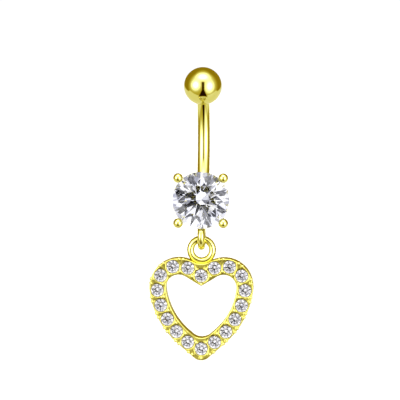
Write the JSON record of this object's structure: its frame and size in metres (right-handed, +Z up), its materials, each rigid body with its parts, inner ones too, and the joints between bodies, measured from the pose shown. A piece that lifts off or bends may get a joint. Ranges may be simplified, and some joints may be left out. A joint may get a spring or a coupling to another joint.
{
  "type": "navel ring",
  "caption": "Curved-bar navel ring with a screw-on ball, a round clear stone in a four-prong setting and a hanging open heart edged with small clear stones.",
  "frame": {"origin": "on the middle line of the bar, where it passes through the piercing", "axes": "+Z up along the piercing as worn, -Y forward, which is the way the large stone and the heart face, +X to the right as seen from the front"},
  "size_m": [0.0138, 0.0086, 0.0386],
  "materials": {
    "gold": "polished yellow gold plate",
    "clear_stone": "clear, faceted and polished"
  },
  "bodies": {
    "bar": {"barbell": "gold", "main_stone": "clear_stone"},
    "ball": {"ball_top": "gold"},
    "pendant": {"heart_frame": "gold", "heart_stone_01": "clear_stone", "heart_stone_02": "clear_stone", "heart_stone_03": "clear_stone", "heart_stone_04": "clear_stone", "heart_stone_05": "clear_stone", "heart_stone_06": "clear_stone", "heart_stone_07": "clear_stone", "heart_stone_08": "clear_stone", "heart_stone_09": "clear_stone", "heart_stone_10": "clear_stone", "heart_stone_11": "clear_stone", "heart_stone_12": "clear_stone", "heart_stone_13": "clear_stone", "heart_stone_14": "clear_stone", "heart_stone_15": "clear_stone", "heart_stone_16": "clear_stone", "heart_stone_17": "clear_stone", "heart_stone_18": "clear_stone"}
  },
  "joints": [
    {"name": "ball_travel", "type": "slide", "parent": "bar", "child": "ball", "axis": [0, -0.4462, 0.8949], "range_m": [0, 0.0025]},
    {"name": "heart_swing", "type": "hinge", "parent": "bar", "child": "pendant", "pos_m": [0, -0.0049, -0.01406], "axis": [0, 1, 0], "range_deg": [-55, 55]}
  ]
}
